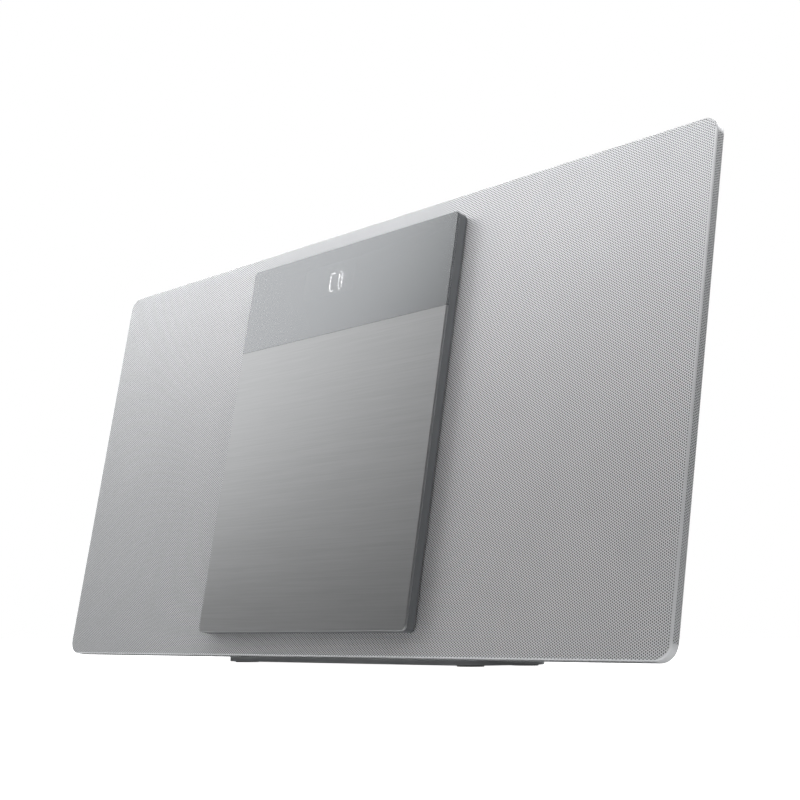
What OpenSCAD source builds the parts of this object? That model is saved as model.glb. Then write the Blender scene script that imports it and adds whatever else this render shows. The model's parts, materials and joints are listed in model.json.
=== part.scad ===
// Flat compact disc stereo: a thin perforated front panel that leans back on a
// small foot, a motor-driven sliding door over the disc well, two loudspeakers
// and a tapered rear cabinet. Millimetres, +Z up. The origin is the middle of
// the ground contact, with half of the overall depth in front of it.
//
// Most pieces are drawn in the leaning frame: X to the right, Y as the depth
// behind the panel's front face and Z as the height up the slope.

/* [Front panel] */
// Width of the front panel
panel_w = 410; // [390:1:500]
// Height of the front panel, measured up its slope
panel_h = 214; // [210:1:260]
// Angle that the panel leans back from upright, in degrees
lean = 10.3; // [8:0.1:12.5]
// Corner radius of the panel
panel_r = 7; // [4:0.5:10]
// Depth of the panel's folded edge
rim_depth = 4.8; // [4.6:0.1:7]
// Thickness of the perforated sheet
net_t = 0.8; // [0.5:0.1:1]
// Height of the panel's lower front edge above the ground
panel_lift = 4; // [4:0.5:8]

/* [Sliding door] */
// Width of the door
door_w = 148.5; // [146:0.5:151]
// Bare panel left above and below the door
door_margin = 10.4; // [9.5:0.1:11.5]
// How far the door's face stands proud of the panel
door_proud = 6.5; // [6:0.5:9]
// Gap between the door's back and the panel
door_gap = 0.6; // [0.4:0.1:1]
// Corner radius of the door
door_r = 2.5; // [1:0.5:4]
// Height of the window strip at the top of the door
window_h = 45.4; // [40:0.1:60]
// Thickness of the door's face sheets
face_t = 1.2; // [0.8:0.1:2]
// How far the door slides open
door_travel = 128; // [105:0.5:128]
// Diameter of the door's guide rods
door_rod_d = 3; // [2:0.5:4]

/* [Disc drive] */
// Diameter of the disc that the drive plays
disc_d = 120; // [80:1:120]
// Room round the disc in its well
disc_gap = 1.5; // [1:0.1:1.5]
// Disc centre, to the right of the middle
disc_x = -8; // [-8:0.5:-7]
// Disc centre above the door's lower edge
disc_s = 77.6; // [76:0.1:84]
// Diameter of the hole hub that the disc clips on
hub_d = 14.8; // [14:0.1:14.9]
// Travel of the optical pickup
sled_travel = 33; // [25:1:33]

/* [Loudspeakers] */
// Diameter of the cone, out to its surround
cone_d = 56; // [46:1:68]
// Speaker axis, in from the panel's end
speaker_edge = 67; // [60:1:75]
// Inner diameter of the bass port tubes
port_d = 24; // [16:1:30]

/* [Rear cabinet] */
// Overall depth of the object
body_depth = 84; // [80:1:105]
// Wall of the rear cabinet
wall = 2.5; // [2:0.1:3.2]
// Inward slope of the cabinet's sides, for each unit of depth
side_taper = 0.85; // [0.6:0.01:0.9]
// Height of the cabinet's underside above the ground
belly_z = 5; // [5:0.5:9]
// Height of the cabinet's top below the panel's upper edge
shoulder_drop = 8.5; // [6:0.5:12]
// Across spacing of the wall-mount holes
wall_hole_x = 100; // [80:1:120]
// Height spacing of the wall-mount holes
wall_hole_z = 75; // [60:1:90]
// Diameter of the wall-mount holes
wall_hole_d = 4.5; // [4:0.1:5.5]

/* [Foot] */
// Width of the foot
foot_w = 180; // [160:1:200]
// Depth of the foot
foot_d = 57; // [50:1:60]
// Corner radius of the foot
foot_r = 15; // [8:1:20]
// How far the rubber pads stand below the foot
pad_proud = 0.5; // [0.3:0.1:1]

/* [Buttons] */
// Length of a button, across the object
button_w = 12; // [10:0.5:13]
// Depth of a button
button_d = 7; // [6:0.5:8]
// Spacing of the buttons
button_pitch = 17; // [16:0.5:18]
// Travel of a button
button_travel = 0.8; // [0.5:0.1:1]
// Outermost button's middle, in from the cabinet's sloping side
button_edge = 17.8; // [17:0.1:25]

/* [Hidden] */
$fn = 64;

// General clearances and plate thicknesses
slip = 0.3;
shaft_gap = 0.05;
over = 1;

// Door outline up the slope
door_s0 = door_margin;
door_s1 = panel_h - door_margin - 1.2;
window_s = door_s1 - window_h;
door_back = -door_gap;
door_face = -door_proud;
carrier_face = door_face + face_t;

// Place of the panel's lower front edge, so that the depth is centred
front_reach = door_proud * cos(lean) - door_s0 * sin(lean);
panel_y = -body_depth / 2 + front_reach;
back_y = body_depth / 2;

// Plates behind the panel's skin
baffle_d0 = net_t + 1.6;
baffle_d1 = rim_depth;
centre_w = door_w - 6.5;
centre_s0 = door_s0 + 3.6;
centre_s1 = door_s1 - 1.4;
flange_side = 5.3;
tray_d1 = baffle_d1 + 2;

// Disc well
well_r = disc_d / 2 + disc_gap;
disc_z = door_s0 + disc_s;
platter_d = baffle_d1 - 0.9;
platter_r = 14.5;

// Display
display_s0 = centre_s1 - 18.5;
display_s1 = centre_s1 - 6;
display_w = 80;
display_lip = 4;
display_back = tray_d1 - 0.5;
light_x0 = -32;
light_w = 38;

// Door drive
arm_w = 8;
arm_h = 3.2;
slot_room = 0.8;
arm_x = -door_travel / 2;
rod_low_s = centre_s0 + 4.5;
rod_high_s = centre_s1 - 3.5;
rod_depth = 12;
runner_w = 24;
runner_d0 = 8.6;
runner_d1 = 15.4;
runner_half = 4;
rod_boss_x = door_travel / 2 + 20;
rod_boss = 3.5;
tooth_module = 0.8;
pinion_teeth = 20;
pinion_r = tooth_module * pinion_teeth / 2;
rack_d0 = 9;
rack_d1 = 13;
rack_pitch_s = rod_low_s + runner_half + 4.3;
pinion_x = door_travel / 2 - 13;
pinion_s = rack_pitch_s + pinion_r + 0.05;
pinion_axle_r = 1.5;
door_motor_r = 9;
rack_x0 = arm_x - runner_w / 2 - 6;
rack_x1 = pinion_x + 4;
backlash = 0.16;
pressure = 20;

// Disc mechanism
chassis_d0 = 17.5;
chassis_d1 = 19;
chassis_s0 = rod_low_s + 7.5;
chassis_s1 = disc_z + 32;
post_x = 72;
post_edge = 4;
sled_rod_r = 1.5;
sled_rod_s = 19;
sled_rod_depth = 12.5;
sled_x0 = disc_x + 13;
sled_len = 32;
sled_half = 22;
lens_x = disc_x + 25;
sled_gear_teeth = 20;
sled_module = 0.5;
sled_gear_r = sled_module * sled_gear_teeth / 2;
sled_gear_x = sled_x0 + sled_travel;
sled_rack_s = disc_z - sled_half - 2.4;
sled_gear_s = sled_rack_s - sled_gear_r - 0.05;
sled_end_x = sled_x0 + sled_len + sled_travel + 5;
sled_motor_r = 7;
spindle_r = 11;

// Loudspeakers
speaker_x = panel_w / 2 - speaker_edge;
speaker_s = panel_h / 2;
cone_r = cone_d / 2;
surround_w = 7.5;
speaker_r = cone_r + 10;
baffle_hole_r = cone_r + 8;

// Main board
board_x0 = -70;
board_x1 = 36;
board_s0 = chassis_s0 + 4;
board_s1 = disc_z + 60;
board_d0 = 26;
board_t = 1.6;

// Cabinet
shoulder_z = panel_lift + (panel_h - shoulder_drop) * cos(lean) - rim_depth * sin(lean);
front_inset = 8;
cabinet_half = panel_w / 2 - front_inset;
corner_r = 9;
arc_steps = 12;
button_y = back_y - 15;
port_x = speaker_x - 28;
port_z = panel_lift + speaker_s + 43;
port_wall = 2;
port_len = 34;
jack_x = -40;
jack_w = 70;
jack_z = 37.5;
jack_h = 25;
jack_pitch = 22;
wall_hole_mid = panel_lift + speaker_s + 1.5;
foot_y = back_y - 2.5 - foot_d / 2;
foot_screw_x = foot_w / 3;
foot_screw_r = 1.4;
foot_head_r = 3.2;
foot_head_z0 = 1;
foot_head_z1 = 2.6;
foot_screw_len = belly_z + wall + 2;
pad_r = 6;
pad_h = 2;
case_screw_x = 115;
case_screw_in = 17;
case_screw_r = 1.6;
case_head_r = 3.1;
case_head_h = 1.5;
socket_d0 = back_y - 14;
socket_d1 = back_y - 1;

// Buttons, and the board with their switches below them
button_count = 7;
button_r = 2;
button_proud = 1.5;
button_depth = (button_y - panel_y) * cos(lean) - (shoulder_z - panel_lift) * sin(lean);
button_x0 = cabinet_half - side_taper * (button_depth - rim_depth) - button_edge;
stem_h = 5;
flange_h = 1.2;
flange_lip = 1;
switch_gap = 0.3;
switch_h = 1.5;
switch_r = 3;
flange_top = shoulder_z - wall - slip;
board_top = flange_top - flange_h - stem_h - button_travel - switch_gap - switch_h;

// Places a child in the leaning frame
module leaning() {
    translate([0, panel_y, panel_lift])
        rotate([-lean, 0, 0])
            children();
}

// Extrudes an outline drawn across the panel between two depths
module plate(d0, d1) {
    translate([0, d1, 0])
        rotate([90, 0, 0])
            linear_extrude(d1 - d0)
                children();
}

// Turns a profile of radius and depth round an axis square to the panel
module turned(x, s) {
    translate([x, 0, s])
        rotate([-90, 0, 0])
            rotate_extrude()
                children();
}

// Rectangle between two corners, with round corners
module rounded(x0, x1, s0, s1, r) {
    translate([x0 + r, s0])
        square([x1 - x0 - 2 * r, s1 - s0]);
    translate([x0, s0 + r])
        square([x1 - x0, s1 - s0 - 2 * r]);
    for (x = [x0 + r, x1 - r], s = [s0 + r, s1 - r])
        translate([x, s])
            circle(r);
}

// Box between two corners
module block(x, y, z) {
    translate([x[0], y[0], z[0]])
        cube([x[1] - x[0], y[1] - y[0], z[1] - z[0]]);
}

// Rod or tube along X
module rod_x(x0, x1, y, z, r) {
    translate([x0, y, z])
        rotate([0, 90, 0])
            cylinder(h = x1 - x0, r = r);
}

// Rod along Y in the upright frame
module rod_y(x, y0, y1, z, r) {
    translate([x, y1, z])
        rotate([90, 0, 0])
            cylinder(h = y1 - y0, r = r);
}

// Disc-like outline at a place on the panel
module dot(x, s, r) {
    translate([x, s])
        circle(r);
}

// Involute gear outline, with one tooth pointing along -Y
function inv_angle(a) = tan(a) * 180 / PI - a;
function flank_half(rho, base, half) = half + inv_angle(pressure) - inv_angle(acos(base / rho));
function polar(rho, a) = [rho * cos(a), rho * sin(a)];

module gear_outline(teeth, size) {
    pitch_r = teeth * size / 2;
    base = pitch_r * cos(pressure);
    root = pitch_r - 1.2 * size;
    tip = pitch_r + 0.95 * size;
    half = 90 / teeth - backlash / 2 / pitch_r * 180 / PI;
    steps = 5;
    function rho(k) = base + (tip - base) * k / steps;
    polygon([
        for (i = [0 : teeth - 1])
            let (mid = -90 + i * 360 / teeth)
            each [
                polar(root, mid - flank_half(base, base, half)),
                for (k = [0 : steps]) polar(rho(k), mid - flank_half(rho(k), base, half)),
                for (k = [steps : -1 : 0]) polar(rho(k), mid + flank_half(rho(k), base, half)),
                polar(root, mid + flank_half(base, base, half))
            ]
    ]);
}

// Rack outline with its teeth up, a tooth gap at gap_x and a bar of the given height below
module rack_outline(x0, x1, gap_x, size, bar) {
    pitch = PI * size;
    half = pitch / 4 - backlash / 2;
    up = 0.95 * size;
    down = 1.2 * size;
    slope = tan(pressure);
    first = ceil((x0 - gap_x) / pitch);
    last = floor((x1 - gap_x) / pitch) - 1;
    polygon([
        [x0, -down - bar],
        [x0, -down],
        for (k = [first : last])
            let (mid = gap_x + (k + 0.5) * pitch)
            each [
                [mid - half - down * slope, -down],
                [mid - half + up * slope, up],
                [mid + half - up * slope, up],
                [mid + half + down * slope, -down]
            ],
        [x1, -down],
        [x1, -down - bar]
    ]);
}

// ---- Front panel ----

module panel_outline(inset) {
    rounded(-panel_w / 2 + inset, panel_w / 2 - inset, inset, panel_h - inset, panel_r - inset);
}

module centre_outline(grow) {
    rounded(-centre_w / 2 - grow, centre_w / 2 + grow, centre_s0 - grow, centre_s1 + grow, 2 + grow);
}

// Perforated sheet, folded back round the edge and cut out behind the door
module grille_net() {
    color("#c9cbcc")
        leaning()
            difference() {
                plate(0, rim_depth) panel_outline(0);
                plate(net_t, rim_depth + over) panel_outline(net_t);
                plate(-over, net_t + over) centre_outline(slip);
            }
}

// Plastic spacer that holds the sheet off the baffle: a rim, a ring round the centre and two bars
module grille_frame() {
    bar = 6;
    rim = 4;
    color("#4a4c4e")
        leaning()
            plate(net_t, baffle_d0)
                difference() {
                    panel_outline(net_t);
                    difference() {
                        panel_outline(net_t + rim);
                        centre_outline(bar);
                        for (side = [-1, 1])
                            translate([side * (centre_w / 2 + bar) - bar / 2, 0])
                                square([bar, panel_h]);
                    }
                    centre_outline(slip);
                }
}

// Plate that carries the speakers, with the bosses that hold the ends of the guide rods
module front_baffle() {
    color("#2b2c2e")
        leaning() {
            plate(baffle_d0, baffle_d1)
                difference() {
                    panel_outline(net_t);
                    centre_outline(flange_side);
                    for (side = [-1, 1])
                        dot(side * speaker_x, speaker_s, baffle_hole_r);
                }
            for (side = [-1, 1], s = [rod_low_s, rod_high_s])
                difference() {
                    block([side * rod_boss_x - rod_boss, side * rod_boss_x + rod_boss],
                          [baffle_d1, rod_depth + door_rod_d / 2 + 2],
                          [s - rod_boss, s + rod_boss]);
                    rod_x(side * rod_boss_x - rod_boss - over, side * rod_boss_x + rod_boss + over,
                          rod_depth, s, door_rod_d / 2);
                }
        }
}

// Slot that the door's arm travels in
module arm_slot(s) {
    x1 = -arm_x + arm_w / 2 + slot_room;
    rounded(-x1, x1, s - arm_h / 2 - slip, s + arm_h / 2 + slip, slip);
}

// Dark plate behind the door, with the disc well, the arm slots and the display cut-out
module centre_fascia() {
    color("#1d1e20")
        leaning()
            difference() {
                union() {
                    plate(slip, baffle_d0) centre_outline(0);
                    plate(baffle_d0, baffle_d1) centre_outline(flange_side - slip);
                }
                plate(-over, baffle_d1 + over) {
                    dot(disc_x, disc_z, well_r);
                    arm_slot(rod_low_s);
                    arm_slot(rod_high_s);
                    translate([-display_w / 2, display_s0])
                        square([display_w, display_s1 - display_s0]);
                }
            }
}

// Floor of the disc well, with holes for the turntable and the pickup
module disc_tray() {
    lip = 3;
    window_half = 7;
    window_room = 8;
    color("#26272a")
        leaning()
            plate(baffle_d1, tray_d1)
                difference() {
                    rounded(-centre_w / 2 - lip, centre_w / 2 + lip, chassis_s0 - lip,
                            disc_z + well_r + 2.5, lip);
                    dot(disc_x, disc_z, platter_r + 1);
                    translate([disc_x + platter_r, disc_z - window_half])
                        square([lens_x - disc_x - platter_r + sled_travel + window_room,
                                2 * window_half]);
                }
}

// ---- Display ----

// Light box with the display's dark face, set into the fascia
module display_module() {
    skirt = 3;
    color("#101112")
        leaning() {
            plate(2 * slip, baffle_d1)
                translate([-display_w / 2 + slip, display_s0 + slip])
                    square([display_w - 2 * slip, display_s1 - display_s0 - 2 * slip]);
            plate(baffle_d1, display_back)
                translate([-display_w / 2 - display_lip, display_s0 - skirt])
                    square([display_w + 2 * display_lip, display_s1 - display_s0 + skirt]);
        }
}

module display_board() {
    skirt = 12;
    color("#1f6b3a")
        leaning()
            plate(display_back, display_back + board_t)
                translate([-display_w / 2 - display_lip, display_s0 - skirt])
                    square([display_w + 2 * display_lip, display_s1 - display_s0 + skirt]);
}

// ---- Sliding door ----

module door_outline() {
    rounded(-door_w / 2, door_w / 2, door_s0, door_s1, door_r);
}

// Brushed metal sheet on the lower part of the door
module door_plate() {
    color("#a9abad")
        leaning()
            plate(door_face, carrier_face)
                intersection() {
                    door_outline();
                    translate([-door_w / 2, 0])
                        square([door_w, window_s]);
                }
}

// Half-mirror window strip on the upper part of the door
module door_window() {
    color("#7d8083")
        leaning()
            plate(door_face, carrier_face)
                intersection() {
                    door_outline();
                    translate([-door_w / 2, window_s])
                        square([door_w, window_h + over]);
                }
}

// Plastic tray that carries both face sheets, with a light hole before the display
module door_carrier() {
    color("#5b5d60")
        leaning()
            plate(carrier_face, door_back)
                difference() {
                    door_outline();
                    translate([light_x0, display_s0])
                        square([light_w, display_s1 - display_s0]);
                }
}

// Arm that passes through a slot, with the block that runs on the guide rod
module door_runner(s) {
    color("#3a3b3d")
        leaning()
            difference() {
                union() {
                    block([arm_x - arm_w / 2, arm_x + arm_w / 2], [door_back, runner_d0],
                          [s - arm_h / 2, s + arm_h / 2]);
                    block([arm_x - runner_w / 2, arm_x + runner_w / 2], [runner_d0, runner_d1],
                          [s - runner_half, s + runner_half]);
                }
                rod_x(arm_x - runner_w / 2 - over, arm_x + runner_w / 2 + over,
                      rod_depth, s, door_rod_d / 2 + shaft_gap);
            }
}

module door_runner_upper() {
    door_runner(rod_high_s);
}

module door_runner_lower() {
    door_runner(rod_low_s);
}

// Toothed bar on the lower runner
module door_rack() {
    bar = rack_pitch_s - 1.2 * tooth_module - rod_low_s - runner_half;
    color("#e8e4d8")
        leaning()
            plate(rack_d0, rack_d1)
                translate([0, rack_pitch_s])
                    rack_outline(rack_x0, rack_x1, pinion_x, tooth_module, bar);
}

// Two steel rods that guide the door
module door_rods() {
    reach = rod_boss_x + rod_boss;
    color("#b8babc")
        leaning()
            for (s = [rod_low_s, rod_high_s])
                rod_x(-reach, reach, rod_depth, s, door_rod_d / 2);
}

// Gear that drives the rack, on its axle
module door_pinion() {
    color("#e8e4d8")
        leaning() {
            plate(rack_d0, rack_d1)
                translate([pinion_x, pinion_s])
                    gear_outline(pinion_teeth, tooth_module);
            plate(rack_d1, chassis_d0)
                dot(pinion_x, pinion_s, pinion_axle_r);
        }
}

module door_gearbox() {
    half = 12;
    foot = 9;
    color("#3a3b3d")
        leaning()
            plate(rack_d1 + 0.6, chassis_d0)
                difference() {
                    rounded(pinion_x - half, pinion_x + half, pinion_s - foot, pinion_s + half, 2);
                    dot(pinion_x, pinion_s, pinion_axle_r + shaft_gap);
                }
}

module door_motor() {
    motor_len = 19;
    bush_len = 2;
    color("#9b9da0")
        leaning() {
            plate(chassis_d0 + slip, chassis_d0 + motor_len)
                dot(pinion_x, pinion_s, door_motor_r);
            plate(chassis_d0 + motor_len, chassis_d0 + motor_len + bush_len)
                dot(pinion_x, pinion_s, door_motor_r / 3);
        }
}

// ---- Disc mechanism ----

// Steel plate that carries the motors and the posts
module mech_chassis() {
    color("#8e9194")
        leaning()
            plate(chassis_d0, chassis_d1)
                difference() {
                    rounded(-post_x - post_edge, post_x + post_edge, chassis_s0, chassis_s1,
                            post_edge);
                    dot(disc_x, disc_z, spindle_r + slip);
                    dot(pinion_x, pinion_s, door_motor_r + slip);
                    dot(sled_gear_x, sled_gear_s, sled_motor_r + slip);
                }
}

// Posts between the tray and the chassis, and the blocks that hold the sled's rods
module mech_posts() {
    half = 3;
    color("#55585b")
        leaning() {
            plate(tray_d1, chassis_d0)
                for (x = [-post_x, post_x], s = [chassis_s0 + 7, chassis_s1 - post_edge])
                    dot(x, s, half);
            for (x = [sled_x0 - 7, sled_end_x], s = [disc_z - sled_rod_s, disc_z + sled_rod_s])
                difference() {
                    block([x - half + 1, x + half - 1], [sled_rod_depth - half, chassis_d0],
                          [s - half, s + half]);
                    rod_x(x - half, x + half, sled_rod_depth, s, sled_rod_r);
                }
        }
}

// Turntable with the hub that the disc clips on, on the motor's shaft
module turntable_hub() {
    hub_r = hub_d / 2;
    color("#2a2b2d")
        leaning()
            turned(disc_x, disc_z)
                polygon([
                    [0, 2 * slip], [hub_r - 1.5, 2 * slip], [hub_r, 2 * slip + 1.2],
                    [hub_r, platter_d + 0.6], [platter_r, platter_d + 0.6],
                    [platter_r, platter_d + 2], [3, platter_d + 2], [3, platter_d + 3.5],
                    [1, platter_d + 3.5], [1, 14], [0, 14]
                ]);
}

// Rubber ring that the disc rests on
module turntable_mat() {
    color("#111111")
        leaning()
            turned(disc_x, disc_z)
                translate([hub_d / 2 + 1.5, platter_d])
                    square([platter_r - hub_d / 2 - 2, 0.6]);
}

module spindle_motor() {
    color("#a5a7aa")
        leaning()
            turned(disc_x, disc_z)
                polygon([
                    [1 + shaft_gap, 8.6], [spindle_r - 1, 8.6], [spindle_r, 9.6],
                    [spindle_r, 20], [0, 20], [0, 14.4], [1 + shaft_gap, 14.4]
                ]);
}

// Carriage of the optical pickup, with its drive rack below
module pickup_sled() {
    body_d0 = 9;
    body_d1 = 16.5;
    bar = 1.8;
    tail = 2.6;
    color("#34363a")
        leaning()
            difference() {
                union() {
                    block([sled_x0, sled_x0 + sled_len], [body_d0, body_d1],
                          [disc_z - sled_half, disc_z + sled_half]);
                    plate(body_d0 + 1, body_d0 + 4)
                        translate([0, sled_rack_s])
                            mirror([0, 1])
                                rack_outline(sled_x0 - 2, sled_x0 + sled_len + tail, sled_gear_x,
                                             sled_module, bar);
                }
                for (s = [disc_z - sled_rod_s, disc_z + sled_rod_s])
                    rod_x(sled_x0 - over, sled_x0 + sled_len + over, sled_rod_depth, s,
                          sled_rod_r + shaft_gap);
            }
}

// Objective lens in its round housing
module pickup_lens() {
    color("#5d7fa8")
        leaning()
            turned(lens_x, disc_z)
                polygon([
                    [0, platter_d + 2.2], [2, platter_d + 2.6], [4, platter_d + 2.6],
                    [4, 9], [0, 9]
                ]);
}

module sled_rods() {
    color("#c0c2c4")
        leaning()
            for (s = [disc_z - sled_rod_s, disc_z + sled_rod_s])
                rod_x(sled_x0 - 9, sled_end_x + 2, sled_rod_depth, s, sled_rod_r);
}

// Gear that drives the sled, on its axle
module sled_gear() {
    color("#e8e4d8")
        leaning() {
            plate(10, 13)
                translate([sled_gear_x, sled_gear_s])
                    rotate(180)
                        gear_outline(sled_gear_teeth, sled_module);
            plate(13, chassis_d0)
                dot(sled_gear_x, sled_gear_s, 1);
        }
}

module sled_motor() {
    nose_r = 5;
    nose_d0 = 15;
    shaft_end = chassis_d0 + slip;
    back = board_d0 - 1;
    color("#a5a7aa")
        leaning()
            turned(sled_gear_x, sled_gear_s)
                polygon([
                    [1 + shaft_gap, nose_d0], [nose_r, nose_d0], [nose_r, chassis_d0],
                    [sled_motor_r, chassis_d0], [sled_motor_r, back], [0, back],
                    [0, shaft_end], [1 + shaft_gap, shaft_end]
                ]);
}

// ---- Loudspeakers ----

// Pressed basket with its mounting flange
module speaker_frame(side) {
    color("#222325")
        leaning()
            turned(side * speaker_x, speaker_s)
                polygon([
                    [cone_r + 2.5, baffle_d1], [speaker_r, baffle_d1],
                    [speaker_r, baffle_d1 + 1.6], [cone_r + 6.5, baffle_d1 + 1.6],
                    [cone_r - 4.5, 22], [cone_r - 4.5, 23.5], [12, 23.5], [12, 22],
                    [cone_r - 6.5, 22], [cone_r + 2.5, 9]
                ]);
}

// Magnet, back plate and pole, with the voice coil's gap
module speaker_magnet(side) {
    magnet_r = 24;
    color("#6d6f72")
        leaning()
            turned(side * speaker_x, speaker_s)
                polygon([
                    [0, 22], [7.6, 22], [7.6, 28], [9.6, 28], [9.6, 23.5],
                    [magnet_r, 23.5], [magnet_r, 36], [0, 36]
                ]);
}

// Rubber roll between the cone and the frame
module surround(side) {
    r0 = cone_r + slip;
    color("#151515")
        leaning()
            turned(side * speaker_x, speaker_s)
                polygon([
                    [r0, baffle_d1 - 0.8],
                    for (a = [180 : -22.5 : 0])
                        [r0 + 2.9 + 2.3 * cos(a), baffle_d1 - 0.8 - 1.3 * sin(a)],
                    [r0 + surround_w, baffle_d1 - 0.8],
                    [r0 + surround_w, baffle_d1],
                    [r0 + 4.4, baffle_d1],
                    for (a = [22.5 : 22.5 : 157.5])
                        [r0 + 2.9 + 1.5 * cos(a), baffle_d1 - 0.6 * sin(a)],
                    [r0, baffle_d1]
                ]);
}

// Paper cone with its dust cap and voice coil
module cone(side) {
    color("#2f3032")
        leaning()
            turned(side * speaker_x, speaker_s)
                polygon([
                    [cone_r, baffle_d1 - 0.2], [cone_r, baffle_d1 + 0.8], [9, 16.8], [9, 24],
                    [8.2, 24], [8.2, 17.2], [0, 14.6], [0, 13.6], [8.6, 15.6]
                ]);
}

module left_speaker_frame() { speaker_frame(-1); }
module left_speaker_magnet() { speaker_magnet(-1); }
module left_surround() { surround(-1); }
module left_cone() { cone(-1); }
module right_speaker_frame() { speaker_frame(1); }
module right_speaker_magnet() { speaker_magnet(1); }
module right_surround() { surround(1); }
module right_cone() { cone(1); }

// Bass port tube, with a flared mouth in the cabinet's back
module port_tube(side) {
    r = port_d / 2;
    color("#1b1c1d")
        translate([side * port_x, back_y, port_z])
            rotate([90, 0, 0])
                rotate_extrude()
                    polygon([
                        [r + 2.5, 0], [r + 4, 0], [r + 4, wall], [r + port_wall, wall],
                        [r + port_wall, port_len], [r, port_len], [r, 3],
                        for (a = [15 : 15 : 75]) [r + 2.5 - 2.5 * cos(a), 3 - 3 * sin(a)]
                    ]);
}

module left_port_tube() { port_tube(-1); }
module right_port_tube() { port_tube(1); }

// ---- Circuit boards ----

module main_board() {
    color("#1f6b3a")
        leaning()
            plate(board_d0, board_d0 + board_t)
                rounded(board_x0, board_x1, board_s0, board_s1, 2);
}

// Capacitors and chips on the back of the main board
module board_parts() {
    back = board_d0 + board_t;
    color("#18191a")
        leaning() {
            plate(back, back + 13)
                for (i = [0 : 3])
                    dot(board_x0 + 12 + 14 * i, board_s0 + 12, 5);
            plate(back, back + 2)
                for (i = [0 : 2])
                    translate([board_x0 + 12 + 30 * i, board_s0 + 34])
                        square([16, 16]);
        }
}

module board_standoffs() {
    color("#c2a661")
        leaning()
            plate(chassis_d1, board_d0)
                for (x = [board_x0 + 5, board_x1 - 5], s = [board_s0 + 5, chassis_s1 - 5])
                    dot(x, s, 2.5);
}

// Finned aluminium block on the amplifier chip
module heat_sink() {
    back = board_d0 + board_t;
    fins = 8;
    color("#8d9093")
        leaning() {
            block([board_x0 + 8, board_x1 - 8], [back, back + 3], [board_s1 - 32, board_s1 - 6]);
            for (i = [0 : fins - 1])
                translate([board_x0 + 8 + i * (board_x1 - board_x0 - 18) / (fins - 1), back + 3,
                           board_s1 - 32])
                    cube([2, 11, 26]);
        }
}

// ---- Top buttons ----

function button_x(i) = button_x0 - i * button_pitch;

// Cap, retaining flange and stem of one button
module button(i) {
    stem_r = 1.6;
    color("#8f9193")
        translate([button_x(i), button_y, 0]) {
            translate([0, 0, flange_top])
                linear_extrude(shoulder_z + button_proud - flange_top)
                    rounded(-button_w / 2, button_w / 2, -button_d / 2, button_d / 2, button_r);
            translate([0, 0, flange_top - flange_h])
                linear_extrude(flange_h)
                    rounded(-button_w / 2 - flange_lip, button_w / 2 + flange_lip,
                            -button_d / 2 - flange_lip, button_d / 2 + flange_lip, button_r);
            translate([0, 0, flange_top - flange_h - stem_h])
                cylinder(h = stem_h, r = stem_r);
        }
}

module power_button() { button(0); }
module source_button() { button(1); }
module volume_down_button() { button(2); }
module volume_up_button() { button(3); }
module stop_button() { button(4); }
module play_button() { button(5); }
module open_button() { button(6); }

// Board under the buttons, with a dome switch for each
module key_board() {
    margin = 7;
    half_d = 5;
    color("#1f6b3a") {
        translate([button_x(button_count - 1) - margin, button_y - half_d, board_top - board_t])
            cube([(button_count - 1) * button_pitch + 2 * margin, 2 * half_d, board_t]);
        for (i = [0 : button_count - 1])
            translate([button_x(i), button_y, board_top])
                cylinder(h = switch_h, r = switch_r);
    }
}

// ---- Rear cabinet ----

function arc(cx, cy, r, a0, a1) = [
    for (k = [0 : arc_steps])
        let (a = a0 + (a1 - a0) * k / arc_steps)
        [cx + r * cos(a), cy + r * sin(a)]
];

// Solid of the cabinet, taken in by a wall and starting at a given depth
module cabinet_solid(inset, front) {
    deep = body_depth * 1.2;
    half0 = cabinet_half - side_taper * (front - rim_depth) - inset;
    half1 = cabinet_half - side_taper * (deep - rim_depth) - inset;
    r = corner_r - inset;
    y1 = back_y - inset;
    z0 = belly_z + inset;
    z1 = shoulder_z - inset;
    intersection() {
        leaning()
            translate([0, 0, -panel_h])
                linear_extrude(3 * panel_h)
                    polygon([[-half0, front], [half0, front], [half1, deep], [-half1, deep]]);
        rotate([90, 0, 90])
            translate([0, 0, -panel_w / 2])
                linear_extrude(panel_w)
                    polygon(concat(
                        [[-body_depth, z0]],
                        arc(y1 - r, z0 + r, r, -90, 0),
                        arc(y1 - r, z1 - r, r, 0, 90),
                        [[-body_depth, z1]]
                    ));
    }
}

// Places of the screws that close the cabinet
module case_screw_places() {
    for (x = [-case_screw_x, case_screw_x],
         z = [belly_z + case_screw_in, shoulder_z - case_screw_in])
        translate([x, 0, z])
            children();
}

// Places of the holes that hang the object on a wall
module wall_hole_places() {
    for (x = [-wall_hole_x / 2, wall_hole_x / 2], k = [-0.5, 0.5])
        translate([x, 0, wall_hole_mid + k * wall_hole_z])
            children();
}

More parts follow.
